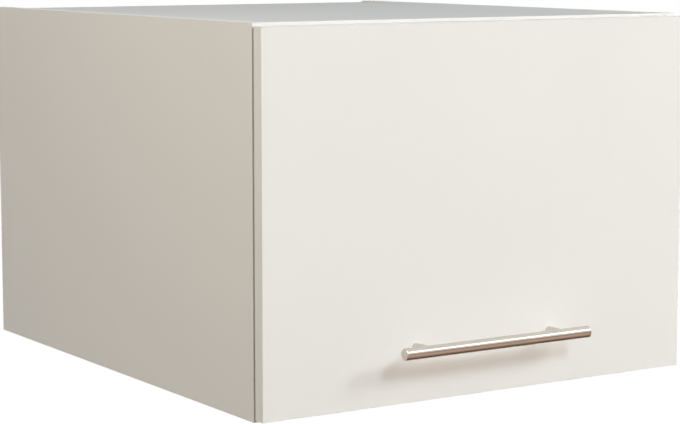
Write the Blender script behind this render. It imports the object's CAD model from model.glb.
"""Wall cabinet for over a washing machine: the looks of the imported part, as it is put together."""

from math import cos, radians, sin

import bmesh
import bpy
from mathutils import Matrix, Vector


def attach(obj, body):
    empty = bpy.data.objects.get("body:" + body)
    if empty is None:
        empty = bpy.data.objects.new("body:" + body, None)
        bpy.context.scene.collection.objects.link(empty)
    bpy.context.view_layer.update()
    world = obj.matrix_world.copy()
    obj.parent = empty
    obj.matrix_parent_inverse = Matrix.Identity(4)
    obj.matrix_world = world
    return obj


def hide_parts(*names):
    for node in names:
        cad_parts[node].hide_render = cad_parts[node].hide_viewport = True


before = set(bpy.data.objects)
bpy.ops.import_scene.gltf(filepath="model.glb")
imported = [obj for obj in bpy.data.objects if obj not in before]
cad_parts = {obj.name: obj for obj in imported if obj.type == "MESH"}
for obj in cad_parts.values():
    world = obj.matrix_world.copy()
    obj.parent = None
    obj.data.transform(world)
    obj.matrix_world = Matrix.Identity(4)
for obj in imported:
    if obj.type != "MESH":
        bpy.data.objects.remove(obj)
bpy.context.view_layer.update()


# Side panels.
# Chipboard of 16 mm with a white melamine face on both sides, sawn to size; the saw leaves the
# rear edges raw, with the thin line of the coating on each side of the chips.

class Wire:
    """A socket of a shader tree. Sums and products of wires add Math nodes."""

    def __init__(self, socket):
        self.socket = socket
        self.tree = socket.id_data

    def node(self, kind, settings, inputs, output=0):
        """Adds any other node: its settings first, then the values or wires of its sockets."""
        made = self.tree.nodes.new(kind)
        for name, value in settings.items():
            if name == "stops":
                while len(made.color_ramp.elements) < len(value):
                    made.color_ramp.elements.new(0.5)
                for element, (position, colour) in zip(made.color_ramp.elements, value):
                    element.position = position
                    element.color = colour
            else:
                setattr(made, name, value)
        for key, value in inputs.items():
            if isinstance(value, Wire):
                self.tree.links.new(value.socket, made.inputs[key])
            else:
                made.inputs[key].default_value = value
        return Wire(made.outputs[output])

    def math(self, operation, *values):
        return self.node("ShaderNodeMath", {"operation": operation}, dict(enumerate(values)))

    def __add__(self, other):
        return self.math("ADD", self, other)

    def __sub__(self, other):
        return self.math("SUBTRACT", self, other)

    def __rsub__(self, other):
        return self.math("SUBTRACT", other, self)

    def __mul__(self, other):
        return self.math("MULTIPLY", self, other)

    def __truediv__(self, other):
        return self.math("DIVIDE", self, other)

    def __pow__(self, other):
        return self.math("POWER", self, other)

    def __gt__(self, other):
        return self.math("GREATER_THAN", self, other)

    def __lt__(self, other):
        return self.math("LESS_THAN", self, other)

    __radd__, __rmul__ = __add__, __mul__

    def distance(self):
        return self.math("ABSOLUTE", self)

    def held(self):
        """The same number, kept between 0 and 1."""
        clamped = {"operation": "ADD", "use_clamp": True}
        return self.node("ShaderNodeMath", clamped, {0: self, 1: 0.0})

    def axes(self):
        """The three numbers of a place, as wires."""
        return [self.node("ShaderNodeSeparateXYZ", {}, {0: self}, i) for i in range(3)]

    def stretched(self, x, y, z):
        return self.node("ShaderNodeMapping", {}, {"Vector": self, "Scale": (x, y, z)})

    def noise(self, scale, detail, roughness=0.5):
        return self.node("ShaderNodeTexNoise", {}, {
            "Vector": self, "Scale": scale, "Detail": detail, "Roughness": roughness})

    def coloured(self, first, second):
        """A mix of two colours by this wire."""
        return self.node("ShaderNodeMix", {"data_type": "RGBA"}, {0: self, 6: first, 7: second}, 2)

    def relief(self, distance, strength):
        return self.node("ShaderNodeBump", {}, {
            "Strength": strength, "Distance": distance, "Height": self})


def blank(name):
    """A new material and the place on its piece, in metres."""
    material = bpy.data.materials.new(name)
    material.use_nodes = True
    material.node_tree.nodes.clear()
    return material, Wire(material.node_tree.nodes.new("ShaderNodeTexCoord").outputs["Object"])


def surface(material, shader):
    """Closes a material with its shader."""
    output = material.node_tree.nodes.new("ShaderNodeOutputMaterial")
    material.node_tree.links.new(shader.socket, output.inputs["Surface"])


def coat(material, place, inputs):
    """Closes a material of the cabinet with its colour, gloss and relief."""
    surface(material, place.node("ShaderNodeBsdfPrincipled", {}, inputs))
    return material


def rgb(red, green, blue):
    """A colour given as it looks on a screen, 0 to 255, for a shader."""
    def linear(value):
        value = value / 255
        return value / 12.92 if value <= 0.04045 else ((value + 0.055) / 1.055) ** 2.4
    return (linear(red), linear(green), linear(blue), 1)


def darker(shade, share):
    """The same colour with a share of its light."""
    return tuple(share * c for c in shade[:3]) + (1,)


CHIP_DARK, CHIP_MID, CHIP_PALE = rgb(138, 104, 68), rgb(190, 157, 114), rgb(224, 199, 158)


def chips(place):
    """Colour and height of a sawn chipboard edge."""
    flakes = place.node("ShaderNodeTexVoronoi", {"feature": "F1"},
                        {"Vector": place, "Scale": 620.0, "Randomness": 1.0}, 1)
    tone = flakes.axes()[0]
    dust = place.noise(2600.0, 3.0)
    colour = tone.coloured(CHIP_DARK, CHIP_PALE)
    colour = dust.coloured(colour, CHIP_MID)
    return colour, tone * 0.7 + dust * 0.3


def melamine(name, shade, gloss=0.40, raw=None):
    """White melamine with its fine pearl. raw gives, from the place, where the board is sawn."""
    material, place = blank(name)
    pearl = place.noise(760.0, 2.0)
    cloud = place.noise(5.0, 3.0)
    colour = cloud.coloured(darker(shade, 0.965), shade)
    gloss = gloss + 0.05 * cloud + 0.03 * pearl
    height = pearl
    if raw:
        sawn = raw(*place.axes())
        chip_colour, chip_height = chips(place)
        colour = sawn.coloured(colour, chip_colour)
        gloss = gloss * (1 - sawn) + 0.85 * sawn
        height = pearl * (1 - sawn) + chip_height * 6.0 * sawn
    return coat(material, place, {
        "Base Color": colour, "Roughness": gloss, "IOR": 1.5,
        "Normal": height.relief(0.00002, 0.35),
    })


def dress(nodes, material, ease=0.0, segments=2):
    """Gives CAD nodes a material, and their sharp edges a small round."""
    for name in nodes:
        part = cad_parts[name]
        part.data.materials.clear()
        part.data.materials.append(material)
        if ease:
            weld = part.modifiers.new("joined_faces", "WELD")
            weld.merge_threshold = 0.000005
            bevel = part.modifiers.new("eased_edges", "BEVEL")
            bevel.width = ease
            bevel.segments = segments
            bevel.profile = 0.5
            bevel.limit_method = "ANGLE"
            bevel.angle_limit = radians(30)
            bevel.harden_normals = True


WHITE = rgb(240, 238, 234)
SIDE_MIDDLE, HALF_BOARD, SIDE_REAR = 0.292, 0.008, 0.336
COATING, SAWN_DEPTH = 0.0003, 0.0004


def sawn_side(x, y, z):
    """One on the chips of the rear edges, between the two coatings."""
    core = (x.distance() - SIDE_MIDDLE).distance() < HALF_BOARD - COATING
    return (y > SIDE_REAR - SAWN_DEPTH) * core


SIDE_MELAMINE = melamine("side_melamine", WHITE, raw=sawn_side)
dress(["side_panel_left", "side_panel_right"], SIDE_MELAMINE, 0.0003)


# Top and bottom panels.
# The same board between the sides, held by dowels and cams; their rear edges are sawn too and
# hidden behind the back panel.

dress(["top_panel", "bottom_panel"], melamine("shelf_melamine", rgb(233, 232, 230), 0.75), 0.0003)


# Joinery inside the boards.
# Beech dowels, and cam bolts that the die-cast housings pull tight. The housings lie in bores from
# inside the cabinet and are covered by flat white caps.

def beech():
    """Beech with its grain along the dowel and the pressed flutes round it."""
    material, place = blank("beech_dowel")
    x, y, z = place.axes()
    grain = place.stretched(40, 900, 900).noise(1.0, 4.0)
    turn = y * 3000.0 + z * 2100.0
    flutes = turn.math("SINE", turn)
    colour = grain.coloured(rgb(196, 158, 106), rgb(226, 196, 150))
    return coat(material, place, {
        "Base Color": colour, "Roughness": 0.6 + 0.15 * grain,
        "Normal": flutes.relief(0.0001, 0.5),
    })


def plated(name, shade, rough, cloudy=0.06):
    """Plated steel: bright, with faint rolling lines and a slightly uneven gloss."""
    material, place = blank(name)
    rolled = place.stretched(260, 2600, 2600).noise(1.0, 2.0)
    cloud = place.noise(120.0, 3.0)
    return coat(material, place, {
        "Base Color": cloud.coloured(darker(shade, 0.86), shade), "Metallic": 1.0,
        "Roughness": rough + cloudy * cloud + 0.04 * rolled,
        "Normal": rolled.relief(0.000006, 0.3),
    })


def die_cast():
    """Zinc die-cast with the dull, slightly pitted skin of its mould."""
    material, place = blank("zinc_die_cast")
    grain = place.noise(900.0, 3.0)
    cloud = place.noise(160.0, 2.0)
    return coat(material, place, {
        "Base Color": cloud.coloured(rgb(150, 151, 153), rgb(186, 187, 188)), "Metallic": 1.0,
        "Roughness": 0.38 + 0.16 * grain, "Normal": grain.relief(0.00004, 0.5),
    })


def moulded(name, shade, rough):
    """Moulded plastic with the fine spark-eroded grain of its mould."""
    material, place = blank(name)
    grain = place.noise(1400.0, 3.0)
    cloud = place.noise(60.0, 2.0)
    return coat(material, place, {
        "Base Color": cloud.coloured(darker(shade, 0.93), shade),
        "Roughness": rough + 0.08 * grain, "IOR": 1.46,
        "Normal": grain.relief(0.00002, 0.6),
    })


ZINC = plated("zinc_plated_steel", rgb(205, 208, 212), 0.26)
NICKEL = plated("nickel_plated_steel", rgb(214, 210, 203), 0.2)
WHITE_PLASTIC = moulded("white_plastic", rgb(234, 233, 229), 0.38)
dress(["dowels"], beech())
dress(["cam_bolts"], ZINC)
dress(["cam_housings"], die_cast())
dress(["cam_caps"], WHITE_PLASTIC, 0.0002)


# Edge bands of the carcass.
# White plastic bands of 0.8 mm, glued on the front edges of the boards. The trimmer leaves a small
# round along both long edges.

def banding(name, along, shade):
    """Edge band: a little smoother than the board, with faint lines along it."""
    material, place = blank(name)
    drawn = place.stretched(*along).noise(1.0, 2.0)
    cloud = place.noise(9.0, 2.0)
    return coat(material, place, {
        "Base Color": cloud.coloured(darker(shade, 0.97), shade),
        "Roughness": 0.33 + 0.06 * drawn, "IOR": 1.5,
        "Normal": drawn.relief(0.00001, 0.4),
    })


def cuboid(mesh, low, high):
    """A block between two corners, in millimetres."""
    made = bmesh.ops.create_cube(mesh, size=1)["verts"]
    low, high = Vector(low), Vector(high)
    bmesh.ops.scale(mesh, vec=high - low, verts=made)
    bmesh.ops.translate(mesh, vec=(low + high) / 2, verts=made)


def rounded(mesh, chosen, radius):
    """Rounds the edges that chosen picks."""
    edges = [edge for edge in mesh.edges if chosen(edge)]
    bmesh.ops.bevel(mesh, geom=edges, offset=radius, offset_type="OFFSET", affect="EDGES",
                    segments=3, profile=0.5, material=-1, clamp_overlap=True)


def piece(name, mesh, body, material, nodes, sharp=35):
    """Turns a mesh in millimetres into a piece that rides on its body and stands for CAD nodes."""
    bmesh.ops.remove_doubles(mesh, verts=mesh.verts, dist=0.0005)
    bmesh.ops.recalc_face_normals(mesh, faces=mesh.faces)
    bmesh.ops.scale(mesh, vec=(0.001, 0.001, 0.001), verts=mesh.verts)
    for face in mesh.faces:
        face.smooth = True
    for edge in mesh.edges:
        edge.smooth = edge.is_manifold and edge.calc_face_angle() < radians(sharp)
    data = bpy.data.meshes.new(name)
    mesh.to_mesh(data)
    mesh.free()
    data.materials.append(material)
    made = bpy.data.objects.new(name, data)
    bpy.context.scene.collection.objects.link(made)
    even = made.modifiers.new("even_shading", "WEIGHTED_NORMAL")
    even.keep_sharp = True
    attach(made, body)
    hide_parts(*nodes)
    return made


SIDE_IN, SIDE_OUT, CARCASS_HEIGHT, BOARD = 284, 300, 438, 16
BAND_FRONT, BAND_REAR, BAND_ROUND, BAND_JOINT = -336.0, -335.2, 0.45, 0.1
LONG_EDGE = 100


def front_long_edge(edge):
    """Picks the two long edges at the front of a band."""
    in_front = all(vert.co.y < BAND_FRONT + 0.01 for vert in edge.verts)
    return in_front and edge.calc_length() > LONG_EDGE


bands = bmesh.new()
for side in (-1, 1):
    low_x, high_x = sorted((side * SIDE_IN, side * SIDE_OUT))
    cuboid(bands, (low_x, BAND_FRONT, 0), (high_x, BAND_REAR, CARCASS_HEIGHT))
between = SIDE_IN - BAND_JOINT
for low_z in (0, CARCASS_HEIGHT - BOARD):
    cuboid(bands, (-between, BAND_FRONT, low_z), (between, BAND_REAR, low_z + BOARD))
rounded(bands, front_long_edge, BAND_ROUND)
piece("carcass_bands", bands, "carcass",
      banding("carcass_band", (900, 900, 12), WHITE), ["carcass_edge_bands"])


# Back panel.
# Hardboard of 3 mm in grooves of the sides, lacquered white inside and bare brown towards the
# wall, with pan head screws into the rear edges of the top and bottom.

BACK_MIDDLE = 0.2665


def hardboard():
    """Pressed brown fibres with a few darker specks, and white lacquer on the front."""
    material, place = blank("hardboard")
    x, y, z = place.axes()
    bare = y > BACK_MIDDLE
    fibre = place.noise(300.0, 6.0, 0.7)
    tufts = ((place.noise(90.0, 4.0, 0.6) - 0.35) * 2.2).held()
    speck = ((place.noise(1500.0, 2.0) - 0.58) * 6.0).held()
    brown = fibre.coloured(rgb(134, 98, 66), rgb(182, 144, 104))
    brown = (tufts * 0.45).coloured(brown, rgb(154, 112, 74))
    brown = (speck * 0.5).coloured(brown, rgb(104, 74, 48))
    lacquer = place.noise(6.0, 2.0).coloured(rgb(233, 231, 227), rgb(238, 236, 232))
    height = fibre * bare + speck * 0.2
    return coat(material, place, {
        "Base Color": bare.coloured(lacquer, brown), "Roughness": 0.36 + 0.3 * bare + 0.06 * speck,
        "Normal": height.relief(0.00005, 0.5),
    })


dress(["back_panel"], hardboard())
dress(["back_panel_screws"], ZINC, 0.0001, 1)


# Wall hangers.
# White moulded housings pegged into the sides in the service void behind the back panel, each with
# a plated steel hook towards the wall and two adjusting screws behind their access holes.

dress(["hanger_housing_left", "hanger_housing_right"], WHITE_PLASTIC, 0.0008, 3)
dress(["hanger_hook_left", "hanger_hook_right"], ZINC, 0.0004)
dress(["hanger_screws"], ZINC)


# Cup hinges.
# Nickel-plated pressed steel: mounting plates and arms under the top, cups in the flap, cranked
# links between them, and their pins and screws.

dress(["hinge_plate_left", "hinge_plate_right"], NICKEL, 0.0004)
dress(["hinge_arm_left", "hinge_arm_right"], NICKEL, 0.0003)
dress(["hinge_cup_left", "hinge_cup_right"], NICKEL, 0.0002)
dress(["hinge_link_left", "hinge_link_right"], NICKEL, 0.0003)
dress(["hinge_arm_pins", "hinge_cup_pins"], NICKEL)
dress(["hinge_plate_screws", "hinge_arm_screws", "hinge_cup_screws"], ZINC)


# Gas struts.
# A painted steel tube and a hard-chromed rod on each side, with black moulded sockets on ball
# studs. The zinc-plated brackets of the studs are screwed to the side and to the flap.

def painted():
    """Graphite paint, baked on, with its faint orange peel."""
    material, place = blank("graphite_paint")
    peel = place.noise(500.0, 2.0)
    return coat(material, place, {
        "Base Color": peel.coloured(rgb(66, 68, 72), rgb(74, 76, 80)),
        "Roughness": 0.32 + 0.05 * peel,
        "Coat Weight": 0.3, "Coat Roughness": 0.15, "Normal": peel.relief(0.00001, 0.4),
    })


BLACK_PLASTIC = moulded("black_plastic", rgb(34, 34, 36), 0.42)
PAINT = painted()
CHROME = plated("chromed_rod", rgb(224, 225, 227), 0.06, 0.03)
dress(["strut_bracket_left", "strut_bracket_right"], ZINC, 0.0004)
dress(["flap_bracket_left", "flap_bracket_right"], ZINC, 0.0004)
dress(["strut_bracket_screws", "flap_bracket_screws"], ZINC)
dress(["strut_tube_left", "strut_tube_right"], PAINT)
dress(["strut_rod_left", "strut_rod_right"], CHROME)
dress(["strut_guides", "strut_tube_ends", "strut_rod_ends"], BLACK_PLASTIC, 0.0004)


# Soft stops.
# Small pale buttons of soft plastic, glued on the front edges of the sides, so that the flap
# closes quietly.

def soft_stop():
    """Soft plastic that lets a little light in."""
    material, place = blank("soft_stop")
    cloud = place.noise(300.0, 2.0)
    return coat(material, place, {
        "Base Color": cloud.coloured(rgb(214, 214, 210), rgb(226, 226, 222)),
        "Roughness": 0.3 + 0.1 * cloud,
        "Subsurface Weight": 0.3, "Subsurface Radius": (0.002, 0.002, 0.002),
    })


dress(["bumpers"], soft_stop(), 0.0003)


# Flap.
# The same 16 mm board, hung on the hinges, with bands of 0.8 mm glued on all four edges and
# rounded by the trimmer.

FLAP_WHITE = rgb(241, 239, 235)
dress(["flap_panel"], melamine("flap_melamine", FLAP_WHITE))

FLAP_X, FLAP_FRONT, FLAP_REAR, FLAP_LOW, FLAP_HIGH = 299.0, -354.0, -338.0, 2.5, 434.5
FLAP_BAND, FLAP_ROUND = 0.8, 0.6

bands = bmesh.new()
for low_z, high_z in ((FLAP_LOW, FLAP_LOW + FLAP_BAND), (FLAP_HIGH - FLAP_BAND, FLAP_HIGH)):
    cuboid(bands, (-FLAP_X, FLAP_FRONT, low_z), (FLAP_X, FLAP_REAR, high_z))
for side in (-1, 1):
    low_x, high_x = sorted((side * FLAP_X, side * (FLAP_X - FLAP_BAND)))
    cuboid(bands, (low_x, FLAP_FRONT, FLAP_LOW + FLAP_BAND),
           (high_x, FLAP_REAR, FLAP_HIGH - FLAP_BAND))


def outer_edge(edge):
    """Picks the outer long edges of the flap's bands."""
    a, b = edge.verts
    def rim(v):
        return (abs(v.co.x) > FLAP_X - 0.01, v.co.z < FLAP_LOW + 0.01, v.co.z > FLAP_HIGH - 0.01)
    shared = [p and q for p, q in zip(rim(a), rim(b))]
    across = abs(a.co.y - b.co.y) > 1
    return any(shared) and not across and edge.calc_length() > LONG_EDGE


rounded(bands, outer_edge, FLAP_ROUND)
piece("flap_bands", bands, "flap",
      banding("flap_band", (8, 900, 8), FLAP_WHITE), ["flap_edge_bands"])


# Handle.
# A round bar of brushed stainless steel, 14 mm thick with chamfered ends, saddled onto two turned
# posts and screwed through the flap.

def brushed(name, shade):
    """Stainless steel brushed round the bar."""
    material, place = blank(name)
    hair = place.stretched(5200, 60, 60).noise(1.0, 3.0, 0.6)
    cloud = place.noise(40.0, 2.0)
    uneven = hair * 0.5 + cloud * 0.5
    return coat(material, place, {
        "Base Color": uneven.coloured(darker(shade, 0.8), shade), "Metallic": 1.0,
        "Roughness": 0.13 + 0.05 * hair, "Normal": hair.relief(0.000002, 0.08),
    })


def turned(mesh, profile, steps, place):
    """Turns a profile of (height, radius) pairs round the Z axis and moves it into place."""
    points = [mesh.verts.new((radius, 0, height)) for height, radius in profile]
    edges = [mesh.edges.new(pair) for pair in zip(points, points[1:])]
    bmesh.ops.spin(mesh, geom=points + edges, cent=(0, 0, 0), axis=(0, 0, 1),
                   angle=radians(360), steps=steps, use_merge=True)
    bmesh.ops.remove_doubles(mesh, verts=mesh.verts, dist=0.0001)
    bmesh.ops.transform(mesh, matrix=place, verts=mesh.verts)


BAR_R, BAR_HALF, BAR_Y, BAR_Z = 7.0, 132.0, -383.5, 66.0
BAR_CHAMFER, BAR_ARRIS = 0.6, 0.15
BAR_STEPS = 96
STEEL = brushed("brushed_bar", rgb(216, 209, 200))

bar = bmesh.new()
bar_end = [(BAR_HALF, 0), (BAR_HALF, BAR_R - BAR_CHAMFER - BAR_ARRIS),
           (BAR_HALF - BAR_ARRIS, BAR_R - BAR_CHAMFER), (BAR_HALF - BAR_CHAMFER, BAR_R - 0.1),
           (BAR_HALF - BAR_CHAMFER - 0.2, BAR_R)]
turned(bar, [(-along, radius) for along, radius in bar_end] + bar_end[::-1], BAR_STEPS,
       Matrix.Translation((0, BAR_Y, BAR_Z)) @ Matrix.Rotation(radians(90), 4, "Y"))
bar = piece("bar", bar, "flap", STEEL, ["handle_bar"], 50)

dress(["handle_post_left", "handle_post_right"], STEEL, 0.0002)
dress(["handle_screws"], ZINC)


# Studio.
# A pale floor below the hanging cabinet, a surround that is white to the eye and lights from low
# at the left and behind, five soft lamps, and two cards that the bar mirrors as its browns.

def sheet_of(name, low, high, z, standing=False):
    """A flat stage piece at one height, between two corners, or turned up about its rear edge."""
    mesh = bmesh.new()
    made = bmesh.ops.create_grid(mesh, x_segments=1, y_segments=1, size=0.5)["verts"]
    bmesh.ops.scale(mesh, vec=(high[0] - low[0], high[1] - low[1], 1), verts=made)
    bmesh.ops.translate(mesh, vec=((low[0] + high[0]) / 2, (low[1] + high[1]) / 2, z), verts=made)
    if standing:
        upright = Matrix.Rotation(radians(-90), 3, "X")
        bmesh.ops.rotate(mesh, cent=(0, high[1], z), matrix=upright, verts=made)
    data = bpy.data.meshes.new(name)
    mesh.to_mesh(data)
    mesh.free()
    made = bpy.data.objects.new(name, data)
    bpy.context.scene.collection.objects.link(made)
    return made


SEEN_RAYS = ("Camera", "Glossy", "Transmission")


def seen_straight(tree):
    """One for the rays of the camera, of mirror images and through glass, nothing for the rest."""
    path = tree.nodes.new("ShaderNodeLightPath").outputs
    straight, mirrored, through = (Wire(path[f"Is {kind} Ray"]) for kind in SEEN_RAYS)
    return (straight + mirrored + through).held()


FLOOR_REACH, FLOOR_LEVEL = 12, -1.0

floor = sheet_of("floor", (-FLOOR_REACH, -FLOOR_REACH), (FLOOR_REACH, FLOOR_REACH), FLOOR_LEVEL)
material, place = blank("studio_floor")
pale = place.node("ShaderNodeBsdfDiffuse", {}, {"Color": rgb(150, 142, 132)})
shadowed = place.node("ShaderNodeBsdfDiffuse", {}, {"Color": (0.25, 0.25, 0.25, 1)})
lift = place.node("ShaderNodeEmission", {}, {"Color": (1, 1, 1, 1), "Strength": 0.97})
white = place.node("ShaderNodeAddShader", {}, {0: shadowed, 1: lift})
seen = seen_straight(material.node_tree)
upper = place.node("ShaderNodeMixShader", {}, {0: seen, 1: pale, 2: white})
under = Wire(material.node_tree.nodes.new("ShaderNodeNewGeometry").outputs["Backfacing"])
open_under = place.node("ShaderNodeBsdfTransparent", {}, {})
surface(material, place.node("ShaderNodeMixShader", {}, {0: under, 1: upper, 2: open_under}))
floor.data.materials.append(material)


def card(name, low, high, z, shade, standing=False):
    """A glowing sheet that only mirror images see. shade gives its colour from the place."""
    sheet = sheet_of(name, low, high, z, standing)
    material, place = blank(name)
    glow = place.node("ShaderNodeEmission", {}, {"Color": shade(place), "Strength": 1.0})
    surface(material, glow)
    sheet.data.materials.append(material)
    sheet.visible_camera = sheet.visible_diffuse = sheet.visible_shadow = False


def browns(place):
    """Dark close below the cabinet and lighter in front of it."""
    away = (place.axes()[1] * -1.0 - 0.2) / 2.4
    return away.node("ShaderNodeValToRGB", {"stops": [
        (0.0, rgb(84, 66, 54)), (0.13, rgb(132, 106, 90)), (0.26, rgb(188, 160, 142)),
        (0.42, rgb(222, 196, 180)), (0.9, rgb(206, 179, 163))]}, {0: away})


def dark_brown(place):
    """One even brown, whatever the place."""
    return rgb(112, 92, 78)


card("brown_card", (-3.0, -40.0), (30.0, -0.05), -0.55, browns)
card("dark_card", (-3.0, -14.0), (27.0, -12.0), -0.3, dark_brown, standing=True)

LOW_LIGHT, WHITE_LIGHT = (1.0, 0.92, 0.855, 1), (1, 1, 1, 1)
RING_HEIGHT, RING_NARROWNESS = 0.05, 20.0
LEFT_LIGHT, BEHIND_LIGHT, EVEN_LIGHT = 20.0, 14.0, 0.025

world = bpy.data.worlds.new("surround")
world.use_nodes = True
bpy.context.scene.world = world
tree = world.node_tree
tree.nodes.clear()
x, y, z = Wire(tree.nodes.new("ShaderNodeTexCoord").outputs["Generated"]).axes()
low_ring = (1 - (z - RING_HEIGHT).distance() * RING_NARROWNESS).held()
left, behind = (x * -1.0).held(), (x * 0.542 + y * 0.840).held()
level = low_ring * (LEFT_LIGHT * left ** 8.0 + BEHIND_LIGHT * behind * behind) + EVEN_LIGHT
seen = seen_straight(tree)
background = x.node("ShaderNodeBackground", {}, {
    "Color": seen.coloured(LOW_LIGHT, WHITE_LIGHT), "Strength": level * (1 - seen) + seen})
output = tree.nodes.new("ShaderNodeOutputWorld")
tree.links.new(background.socket, output.inputs["Surface"])


def direction(azimuth, elevation):
    """From the cabinet towards these degrees: azimuth 0 is in front of it and 90 at its right."""
    a, e = radians(azimuth), radians(elevation)
    return Vector((sin(a) * cos(e), -cos(a) * cos(e), sin(e)))


def aimed(name, data, place, back):
    """Sets up a lamp or the camera at a place, with its back turned to a direction."""
    made = bpy.data.objects.new(name, data)
    made.location = place
    made.rotation_mode = "QUATERNION"
    made.rotation_quaternion = back.to_track_quat("Z", "Y")
    bpy.context.scene.collection.objects.link(made)
    return made


FLAP_MIDDLE = Vector((0, -0.34, 0.2))


def softbox(name, azimuth, elevation, distance, width, height, power, shade):
    """An area lamp that looks at the middle of the flap."""
    lamp = bpy.data.lights.new(name, "AREA")
    lamp.shape = "RECTANGLE"
    lamp.size, lamp.size_y = width, height
    lamp.energy = power
    lamp.color = shade
    back = direction(azimuth, elevation)
    return aimed(name, lamp, FLAP_MIDDLE + back * distance, back)


softbox("key_front", azimuth=17, elevation=40, distance=12.0,
        width=2.6, height=2.6, power=430, shade=(0.72, 0.88, 1))
softbox("key_right", azimuth=60, elevation=28, distance=12.0,
        width=2.6, height=2.6, power=512, shade=(0.91, 0.95, 1))
softbox("fill", azimuth=-80, elevation=34, distance=1.5,
        width=1.0, height=1.0, power=6.2, shade=(1, 0.97, 0.82))
bar_light = softbox("bar_light", azimuth=40, elevation=34, distance=3.0,
                    width=2.2, height=0.55, power=12, shade=(1, 0.98, 0.94))
bar_light.visible_diffuse = False
front_lamp = softbox("front", azimuth=25, elevation=11, distance=5.0,
                     width=1.1, height=1.1, power=125, shade=(1, 0.92, 0.855))
front_lamp.visible_glossy = False

# The handle throws no shadow in the front lamp's light.
unshaded = bpy.data.collections.new("handle_without_front_shadow")
for part in (bar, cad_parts["handle_post_left"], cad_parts["handle_post_right"]):
    unshaded.objects.link(part)
for linked in unshaded.collection_objects:
    linked.light_linking.link_state = "EXCLUDE"
front_lamp.light_linking.blocker_collection = unshaded

CAMERA_PLACE = Vector((-1.447994, -2.291712, 0.522326))
CAMERA_AZIMUTH, CAMERA_ELEVATION = -32.80748, 7.263826
FILM_WIDTH, FOCAL_LENGTH = 36, 111.5705

lens = bpy.data.cameras.new("camera")
lens.sensor_width = FILM_WIDTH
lens.lens = FOCAL_LENGTH
camera = aimed("camera", lens, CAMERA_PLACE, direction(CAMERA_AZIMUTH, CAMERA_ELEVATION))
bpy.context.scene.camera = camera
bpy.context.scene.view_settings.view_transform = "Standard"
